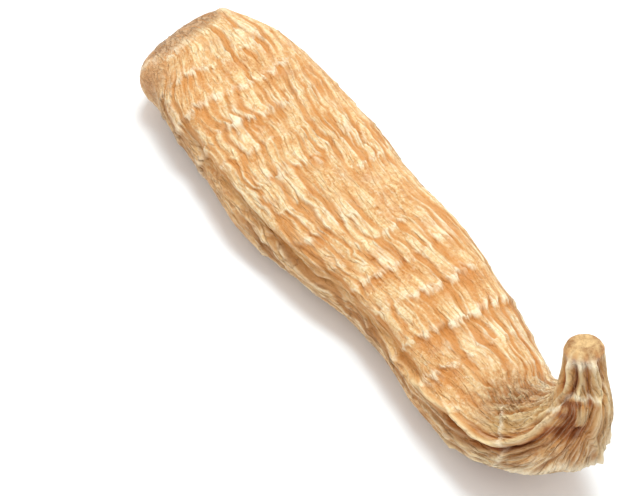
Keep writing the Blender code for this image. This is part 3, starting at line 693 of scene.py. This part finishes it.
def fine_points(skin):
    """The points of the fine skin, with plates, rims, ring fringes, buds and crumbs."""
    relief = FINE_FOLD_SHARE * FOLD_HEIGHT * skin.strength * (skin.crests - FOLD_LEVEL)
    relief += skin.strength * (0.1 * (skin.folds - 1) + 0.05 * skin.fold_rims)
    relief += skin.power * (0.21 * (skin.middle - 0.85) + 0.09 * skin.middle_rims)
    relief += (0.11 * skin.power + 0.14 * skin.hooked) * (skin.small - 0.8)
    relief += (0.06 * skin.power + 0.08 * skin.hooked) * skin.small_rims
    relief += 0.03 * skin.read(grow_noise(12, 0.7, 0.7, rows=521, lanes=1024))
    relief += 0.7 * skin.spot(CREASE, 5.0, 6.5) * skin.crumple
    fringe = skin.ring_strength * bump(skin.past + 0.35, 0.5)
    relief += FINE_RING_SHARE * skin.rings + fringe * (0.12 * skin.middle + 0.16 * skin.near_end)
    relief += 0.05 * skin.buds + 0.3 * bump(skin.from_eye, 0.5)
    relief += 0.5 * bump(skin.from_eye - 1.1, 0.4) - 0.2 * bump(skin.from_eye - 1.9, 0.4)
    return raise_from_form(skin, relief + broad_relief(skin, widen=0.0))


def crest_mark(skin):
    """How far up the skin's ramp of colours each place is, before the noise."""
    crest = 0.42 + skin.strength * (0.06 * skin.crests + 0.08 * skin.fold_rims)
    crest += skin.power * (0.08 * skin.middle + 0.17 * skin.middle_rims)
    crest += skin.power * (0.05 * skin.small + 0.1 * skin.small_rims)
    # Painted highlight: on the flanks the rims of the plates are paler and the rest a little darker.
    crest += skin.sides * (0.28 * skin.fold_rims + 0.26 * skin.middle_rims - 0.04)
    return crest - 0.2 * skin.behind_ring


def furrow_and_shade_mark(skin):
    """Where the orange of the channels shows: the skin's orange, deepened as painted shade and painted glow
    of light through the skin.
    """
    power = np.minimum(skin.power, 1)
    flank = 0.22 * ramp(skin.from_top, 0.08, 0.16) * ramp(skin.way, 8, 16)
    furrow = np.maximum(skin.strength * ramp(skin.folds, 0.9, 0.3), 0.95 * power * (1 - skin.middle))
    furrow += flank * (0.6 * (1 - skin.middle) + 0.8 * (1 - skin.small))
    furrow = np.maximum(furrow, (0.45 * power + 0.5 * skin.hooked) * (1 - skin.small))
    furrow = np.clip(furrow, 0, 1) + 0.75 * skin.behind_ring * (1 - 0.5 * skin.middle_rims)
    furrow = np.maximum(np.clip(furrow, 0, 1), bump(skin.from_eye - 1.9, 0.5))
    furrow = np.maximum(furrow, 0.6 * skin.spot((6, -0.22), 4, 4))
    return np.clip(furrow + skin.crumpled * ramp(skin.crumple, 0.75, 0.25), 0, 1)


def crust_mark(skin):
    """Where whitish crust sits: on the ring fringes, the buds, the collar, the last scar and the hem."""
    ragged = 0.2 + skin.near_end + 0.5 * skin.middle + 0.6 * skin.rims
    crust = 1.4 * skin.ring_strength * bump(skin.past + 0.4, 0.75) * ragged + 0.6 * skin.buds
    crust += 0.8 * skin.band(COLLAR_EDGE, 0.45) + 0.6 * skin.band(LAST_SCAR, 0.35)
    return crust + 0.4 * skin.band(STUB_HEM, 0.35) + 0.8 * bump(skin.from_eye - 1.1, 0.4)


def brown_and_shade_mark(skin):
    """Where the skin is brown: painted shade with brown in the hollow, pocket and grooves, under the hem
    and down one side of the stub; brown on the cap's rim and in specks.
    """
    pocket = [(way, turn, 1.3 * reach) for way, turn, reach in POCKET]
    dark = 0.55 * skin.union(HOLLOW) + 0.75 * skin.union(pocket) + 0.6 * skin.spot(DIMPLE, 1.0, 1.0)
    for depth, half_width, path in HOOK_GROOVES:
        dark += (0.7 + 0.4 * depth) * skin.stroke(path, half_width, soft=1.5)
    dark += skin.union(POCKET_SHADE) - 1.6 * skin.spot(POCKET_LUMP, 1.3, 0.9)
    dark = np.clip(dark, 0, 1) + 0.5 * skin.band(STUB_HEM, 0.5, ahead=skin.hem_ahead - 1.1)
    # Painted shade down one side of the stub.
    shaded_side = bump((skin.turn + 0.645) % 1.0 - 0.5, 0.05) * ramp(skin.way, 117, 121)
    dark = np.clip(dark + 0.3 * shaded_side * ramp(skin.to_tip, 1.4, 3.0), 0, 1)
    dark = np.maximum(dark, 0.5 * bump(skin.to_tip - 1.15, 0.35))
    return np.maximum(dark, sum(skin.spot(place, 0.3, 0.3) for place in SPECKS))


def pale_mark(skin):
    """Where the skin is pale and bare of furrows: ridges, hem, collar, lump and knob."""
    pale = 0.9 * skin.spot(RIDGE_KNOB, 0.9, 0.8) + 0.5 * skin.spot(POCKET_LUMP, 1.2, 0.9)
    for _, half_width, path in HOOK_RIDGES:
        pale += skin.stroke(path, 0.55 * half_width, soft=1.5) * (0.5 + 0.7 * skin.small)
    pale += 0.7 * skin.band(STUB_HEM, 0.45, ahead=skin.hem_ahead) + 0.9 * skin.band(COLLAR_EDGE, 0.6)
    return np.clip(pale, 0, 1)


def chalk_mark(skin):
    """Where the skin is chalky white: rims of both ends, hem, collar and last scar."""
    tip_patch = bump(skin.to_tip - 1.9, 0.8) * bump((skin.turn + 0.8) % 1.0 - 0.5, 0.14)
    chalk = 1.3 * tip_patch + 0.8 * skin.band(STUB_HEM, 0.4, ahead=skin.hem_ahead)
    chalk += 0.8 * skin.band(COLLAR_EDGE, 0.4, ahead=0.6 * (skin.edge - 0.5))
    chalk += 0.7 * skin.band(LAST_SCAR, 0.35) + 0.25 * skin.small_rims * skin.hooked
    return chalk + 0.6 * bump(skin.past_rim - 0.2, 0.35) * ramp(0.3 - abs(skin.from_top), 0, 0.05)


def shaded_flank_mark(skin):
    """The shaded sides, the belly and the hook, where painted shade makes the furrows browner."""
    shaded = np.maximum(skin.sides, 0.8 * ramp(skin.way, 100, 108))
    return np.maximum(shaded * ramp(skin.way, 4, 12), skin.crumpled)


def olive_mark(skin):
    """The olive brown of the hook and the stub."""
    patch = skin.union([(108, -0.14, 4), (112, -0.13, 4), (116, -0.15, 3.5)])
    return np.maximum(patch, 0.7 * ramp(skin.way, 114, 120))


def stain_mark(skin):
    """Orange stains, weaker on the rims of the plates."""
    stains = sum(depth * skin.spot((way, turn), reach, 0.8 * reach) for way, turn, reach, depth in STAINS)
    return np.clip(stains, 0, 1) * (1 - 0.6 * skin.rims)


def bare_and_shade_mark(skin):
    """Brown, crinkled skin, darkened as painted shade: the blunt end's face and one corner of it, and the
    crease.
    """
    face = ramp(-skin.past_rim, -0.3, 0.8)
    corner = 0.8 * skin.spot((7, -0.2), 4, 5)
    return np.maximum(np.maximum(face, corner), 0.8 * skin.crumpled)


def groove_and_side_shade_mark(skin):
    """The orange of the side groove, and a weaker band of it along the whole side, both partly painted
    shade.
    """
    whole_side = skin.stroke([(12, -0.25), (100, -0.25)], 6.0, soft=8.0)
    return np.maximum(skin.side_groove(), 0.4 * whole_side)


def grain_mark(skin):
    """Places on an unrolled tuber, for noise that runs along the skin and kinks with it."""
    radius = skin.girth / (2 * math.pi)
    angle = 2 * math.pi * (skin.lane + kink(skin.grown) / skin.girth)
    return np.stack([radius * np.cos(angle), radius * np.sin(angle), skin.grown], axis=-1)


def skin_marks(skin):
    """What the colours follow, as named attributes of the mesh."""
    return {
        "crest": crest_mark(skin),
        "furrow": furrow_and_shade_mark(skin),
        "crust": crust_mark(skin),
        "dark": brown_and_shade_mark(skin),
        "pale": pale_mark(skin),
        "cap": ramp(skin.way, TOTAL - 1.3, TOTAL - 1.0),
        "chalk": chalk_mark(skin),
        "under": shaded_flank_mark(skin),
        "olive": olive_mark(skin),
        "stain": stain_mark(skin),
        "bare": bare_and_shade_mark(skin),
        "groove": groove_and_side_shade_mark(skin),
        "grain": grain_mark(skin),
    }


def lay_on_ball(name, points, marks):
    """A ball whose poles become the two ends, with every vertex set on the skin."""
    last_row = len(points) - 1
    columns = points.shape[1]
    ball = bmesh.new()
    bmesh.ops.create_uvsphere(ball, u_segments=columns, v_segments=last_row, radius=1.0)
    mesh = bpy.data.meshes.new(name)
    ball.to_mesh(mesh)
    ball.free()
    at = np.empty(len(mesh.vertices) * 3, np.float32)
    mesh.vertices.foreach_get("co", at)
    at = at.reshape(-1, 3).astype(float)
    row = np.round(np.arccos(np.clip(at[:, 2], -1, 1)) / math.pi * last_row).astype(int)
    column = np.round(np.arctan2(at[:, 1], at[:, 0]) / (2 * math.pi) * columns).astype(int) % columns
    mesh.vertices.foreach_set("co", (points[row, column] * MM).astype(np.float32).ravel())
    for mark, table in marks.items():
        kind = "FLOAT_VECTOR" if table.ndim == 3 else "FLOAT"
        field = "vector" if table.ndim == 3 else "value"
        attribute = mesh.attributes.new(mark, kind, "POINT")
        attribute.data.foreach_set(field, table[row, column].astype(np.float32).ravel())
    mesh.update()
    mesh.shade_smooth()
    piece = bpy.data.objects.new(name, mesh)
    bpy.context.scene.collection.objects.link(piece)
    return piece


class Paint:
    """Short words for the shader nodes of one material."""

    def __init__(self, name, roughness, specular):
        self.material = bpy.data.materials.new(name)
        self.material.use_nodes = True
        self.tree = self.material.node_tree
        self.link = self.tree.links.new
        self.shader = self.tree.nodes["Principled BSDF"]
        self.shader.inputs["Roughness"].default_value = roughness
        self.shader.inputs["Specular IOR Level"].default_value = specular

    def add(self, kind, **settings):
        """A node with its settings and the values of its sockets."""
        node = self.tree.nodes.new(kind)
        for name, value in settings.items():
            if name in node.inputs:
                node.inputs[name].default_value = value
            else:
                setattr(node, name, value)
        return node

    def feed(self, socket, value):
        """A plain value or another node's output goes into a socket."""
        if isinstance(value, (int, float, tuple)):
            socket.default_value = value
        else:
            self.link(value, socket)

    def mark(self, name, output="Fac"):
        """One of the mesh's attributes."""
        return self.add("ShaderNodeAttribute", attribute_name=name).outputs[output]

    def scaled(self, source, scale):
        """Coordinates times a scale."""
        mapping = self.add("ShaderNodeMapping", Scale=scale)
        self.link(source, mapping.inputs["Vector"])
        return mapping.outputs["Vector"]

    def noise(self, place, scale, detail, rough=0.55):
        """A noise from 0 to 1 at these coordinates."""
        node = self.add("ShaderNodeTexNoise", Scale=scale, Detail=detail, Roughness=rough)
        self.link(place, node.inputs["Vector"])
        return node.outputs["Fac"]

    def reckon(self, operation, a, b, clamp=False):
        """Two values put together by one operation."""
        node = self.add("ShaderNodeMath", operation=operation, use_clamp=clamp)
        self.feed(node.inputs[0], a)
        self.feed(node.inputs[1], b)
        return node.outputs[0]

    def plus(self, a, b, clamp=False):
        return self.reckon("ADD", a, b, clamp)

    def minus(self, a, b, clamp=False):
        return self.reckon("SUBTRACT", a, b, clamp)

    def times(self, a, b, clamp=False):
        return self.reckon("MULTIPLY", a, b, clamp)

    def above(self, value, level, gain):
        """How far a value is above a level, times a gain, from 0 to 1."""
        return self.times(self.minus(value, level, True), gain, True)

    def lines(self, pattern, level, gain):
        """1 on the thin lines where a noise crosses a level, and 0 away from them."""
        away = self.reckon("ABSOLUTE", self.minus(pattern, level), 0)
        return self.minus(1.0, self.times(away, gain, True))

    def blend(self, share, under, over):
        """One colour or another, by a share."""
        node = self.add("ShaderNodeMix", data_type="RGBA")
        self.link(share, node.inputs["Factor"])
        self.feed(node.inputs[6], under)
        self.feed(node.inputs[7], over)
        return node.outputs[2]

    def coat(self, under, share, strength, colour):
        """A coat of colour over what is under it."""
        return self.blend(self.times(share, strength), under, colour)

    def colour_ramp(self, value, stops):
        """A ramp of colours, whose first and last stops are the ramp's own two."""
        node = self.add("ShaderNodeValToRGB")
        elements = node.color_ramp.elements
        for stop, (at, colour) in zip(elements, (stops[0], stops[-1])):
            stop.position = at
            stop.color = colour
        for at, colour in stops[1:-1]:
            elements.new(at).color = colour
        self.link(value, node.inputs["Fac"])
        return node.outputs["Color"]


def skin_material():
    """Dry skin: pale crests over orange furrows, whitish crust on the rings, olive brown in the hook, with
    painted shade on the shaded sides, in the hollows and in the furrows.
    """
    paint = Paint("dry_tuber_skin", roughness=0.6, specular=0.35)
    place = paint.add("ShaderNodeTexCoord").outputs["Object"]
    in_mm = paint.scaled(place, (1000, 1000, 1000))
    grain = paint.mark("grain", "Vector")
    stretched = paint.scaled(grain, (1.0, 1.0, 0.16))
    threads = paint.scaled(grain, (1.0, 1.0, 0.22))
    off_cap = paint.minus(1.0, paint.mark("cap"))
    under = paint.mark("under")
    bare = paint.mark("bare")
    speckle = paint.noise(in_mm, 2.1, 3, 0.7)
    flecks = paint.noise(in_mm, 1.3, 3, 0.65)
    blotches = paint.noise(in_mm, 0.11, 3)

    # Thin lines: wrinkles, cracks, crinkles of the bare skin, and lines of painted brown shade on the
    # shaded sides.
    coarse = paint.lines(paint.noise(threads, 0.42, 2, 0.5), 0.5, 11.0)
    delicate = paint.lines(paint.noise(threads, 0.9, 2, 0.5), 0.5, 9.0)
    wrinkles = paint.times(paint.plus(coarse, paint.times(delicate, 0.6)), off_cap)
    cracks = paint.times(paint.lines(paint.noise(threads, 0.65, 2, 0.5), 0.52, 22.0), off_cap)
    crinkles = paint.times(paint.lines(paint.noise(in_mm, 0.55, 3, 0.6), 0.5, 12.0), bare)
    shaded_side_lines = paint.lines(paint.noise(threads, 0.8, 2, 0.5), 0.48, 26.0)
    shaded_side_lines = paint.times(shaded_side_lines, paint.times(under, off_cap))

    # The pale crests, with noise of four sizes.
    height = paint.mark("crest")
    noises = [
        (paint.noise(stretched, 1.6, 4), 0.25),
        (blotches, 0.5),
        (paint.noise(stretched, 0.5, 3), 0.6),
        (speckle, 0.95),
    ]
    for pattern, weight in noises:
        height = paint.plus(height, paint.times(paint.minus(pattern, 0.5), weight))
    height = paint.plus(height, paint.times(wrinkles, 0.13))
    skin = paint.colour_ramp(height, SKIN_RAMP)
    skin = paint.blend(paint.above(paint.noise(in_mm, 0.3, 3), 0.5, 2.4), skin, PINK)
    skin = paint.coat(skin, paint.above(0.44, flecks, 8.0), 0.5, FLECK_BROWN)

    crust = paint.times(paint.mark("crust"), paint.times(speckle, 2.0), True)
    crust = paint.plus(paint.above(crust, 0.2, 1.1), paint.above(flecks, 0.54, 4.0), True)
    skin = paint.coat(skin, crust, 0.85, CRUST)
    # Bare, crinkled skin, darkened as painted shade on the blunt end's face, its corner and the crease.
    bare_colour = paint.blend(speckle, BARE_DARK, BARE_LIGHT)
    skin = paint.coat(skin, bare, 0.85, paint.coat(bare_colour, crinkles, 0.7, CRINKLE_BROWN))

    # The channels' orange: the skin's own, deepened as painted shade and painted glow in the furrows.
    furrow = paint.times(paint.mark("furrow"), paint.plus(0.5, blotches), True)
    furrow = paint.reckon("MAXIMUM", furrow, paint.times(cracks, 0.7))
    # Painted shade: an orange-brown tint, browner furrows and brown lines on the shaded sides, belly and
    # hook.
    skin = paint.coat(skin, under, 0.12, SHADED_SIDE_TINT)
    skin = paint.coat(skin, furrow, 0.85, paint.blend(under, FURROW_ORANGE, SHADED_FURROW_BROWN))
    skin = paint.coat(skin, shaded_side_lines, 0.5, SHADED_LINE_BROWN)
    for name, strength, colour in PLAIN_COATS:
        skin = paint.coat(skin, paint.mark(name), strength, colour)

    cap_blotches = paint.above(paint.noise(in_mm, 0.5, 4, 0.7), 0.38, 4.0)
    skin = paint.coat(skin, paint.mark("cap"), 0.85, paint.blend(cap_blotches, CAP_DARK, CAP_LIGHT))
    skin = paint.coat(skin, paint.mark("pale"), 0.65, RIDGE_PALE)
    # Painted shade with brown in the hollow, pocket, grooves and under the hem, deepest where strongest,
    # and the brown specks.
    dark = paint.mark("dark")
    skin = paint.coat(skin, dark, 0.9, paint.blend(paint.above(dark, 0.7, 3.3), HOLLOW_BROWN_AND_SHADE, DEEP_BROWN_AND_SHADE))
    chalk = paint.times(paint.mark("chalk"), paint.times(speckle, 1.8), True)
    skin = paint.coat(skin, chalk, 0.8, CHALK)
    paint.link(skin, paint.shader.inputs["Base Color"])

    rough_grain = paint.times(paint.noise(in_mm, 2.4, 4, 0.7), 0.8)
    rough_grain = paint.plus(rough_grain, paint.times(wrinkles, 0.5))
    rough_grain = paint.minus(rough_grain, paint.times(cracks, 0.35))
    rough_grain = paint.minus(rough_grain, crinkles)
    rough_grain = paint.minus(rough_grain, paint.times(shaded_side_lines, 0.6))
    bumps = paint.add("ShaderNodeBump", Strength=0.9, Distance=0.0004)
    paint.link(rough_grain, bumps.inputs["Height"])
    paint.link(bumps.outputs["Normal"], paint.shader.inputs["Normal"])
    return paint.material


def make_tuber():
    """The whole skin of the tuber, standing where the solid stands. Gives how far it was moved."""
    skin = FineSkin(skin_rows(**SKIN_ROWS, lead=0.03), SKIN_COLUMNS)
    shift = np.array(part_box("tuber")[0]) / MM - solid_points().min(axis=(0, 1))
    tuber = lay_on_ball("tuber_skin", fine_points(skin) + shift, skin_marks(skin))
    tuber.data.materials.append(skin_material())
    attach(tuber, "root")
    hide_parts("tuber")
    return shift


def make_floor():
    """The plain pale surface."""
    sheet = bmesh.new()
    bmesh.ops.create_grid(sheet, x_segments=1, y_segments=1, size=3.0)
    mesh = bpy.data.meshes.new("floor")
    sheet.to_mesh(mesh)
    sheet.free()
    paint = Paint("pale_floor", roughness=0.9, specular=0.5)
    paint.shader.inputs["Base Color"].default_value = FLOOR_WHITE
    mesh.materials.append(paint.material)
    floor = bpy.data.objects.new("floor", mesh)
    bpy.context.scene.collection.objects.link(floor)


def view_axes(azimuth, elevation):
    """Right, up and back of a camera at this azimuth and elevation, in degrees."""
    a, e = math.radians(azimuth), math.radians(elevation)
    right = Vector((math.cos(a), math.sin(a), 0))
    up = Vector((-math.sin(a) * math.sin(e), math.cos(a) * math.sin(e), math.cos(e)))
    back = Vector((math.sin(a) * math.cos(e), -math.cos(a) * math.cos(e), math.sin(e)))
    return right, up, back


def light_the_studio():
    """A soft, cool key high over the far side, aimed at the origin, and a warm, bright sky all round."""
    right, _, near = view_axes(CAMERA_AZIMUTH, 0)
    place = right * KEY_RIGHT - near * KEY_BEHIND + Vector((0, 0, KEY_HEIGHT))
    lamp = bpy.data.lights.new("key", "AREA")
    lamp.size = KEY_SIZE
    lamp.energy = KEY_POWER
    lamp.color = KEY_COLOUR
    key = bpy.data.objects.new("key", lamp)
    key.location = place
    key.rotation_euler = (-place).to_track_quat("-Z", "Y").to_euler()
    bpy.context.scene.collection.objects.link(key)
    world = bpy.data.worlds.new("pale_sky")
    world.use_nodes = True
    sky = world.node_tree.nodes["Background"]
    sky.inputs["Color"].default_value = SKY_COLOUR
    sky.inputs["Strength"].default_value = 1.0
    bpy.context.scene.world = world


def place_camera(shift):
    """The photograph's view: the distance and aim are kept from the part's own middle."""
    right, up, back = view_axes(CAMERA_AZIMUTH, CAMERA_ELEVATION)
    middle = Vector(shift) + Vector((0, 0, 1.0))
    aim = middle + right * CAMERA_AIM_RIGHT + up * CAMERA_AIM_UP
    lens = bpy.data.cameras.new("camera")
    lens.lens = CAMERA_LENS
    camera = bpy.data.objects.new("camera", lens)
    location = middle + back * CAMERA_DISTANCE
    behind = (location - aim).normalized()
    sideways = (right - behind * right.dot(behind)).normalized()
    axes = Matrix((sideways, behind.cross(sideways), behind)).transposed()
    camera.matrix_world = Matrix.Translation(location * MM) @ axes.to_4x4()
    bpy.context.scene.collection.objects.link(camera)
    bpy.context.scene.camera = camera


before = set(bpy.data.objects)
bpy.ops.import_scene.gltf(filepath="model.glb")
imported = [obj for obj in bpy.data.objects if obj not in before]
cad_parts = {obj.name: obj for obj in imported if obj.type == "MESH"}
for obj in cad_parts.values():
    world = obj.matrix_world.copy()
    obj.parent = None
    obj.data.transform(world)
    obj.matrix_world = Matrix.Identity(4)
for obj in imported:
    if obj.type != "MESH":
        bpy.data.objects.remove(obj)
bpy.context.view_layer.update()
part_shift = make_tuber()
make_floor()
light_the_studio()
place_camera(part_shift)
bpy.context.scene.view_settings.view_transform = "Standard"
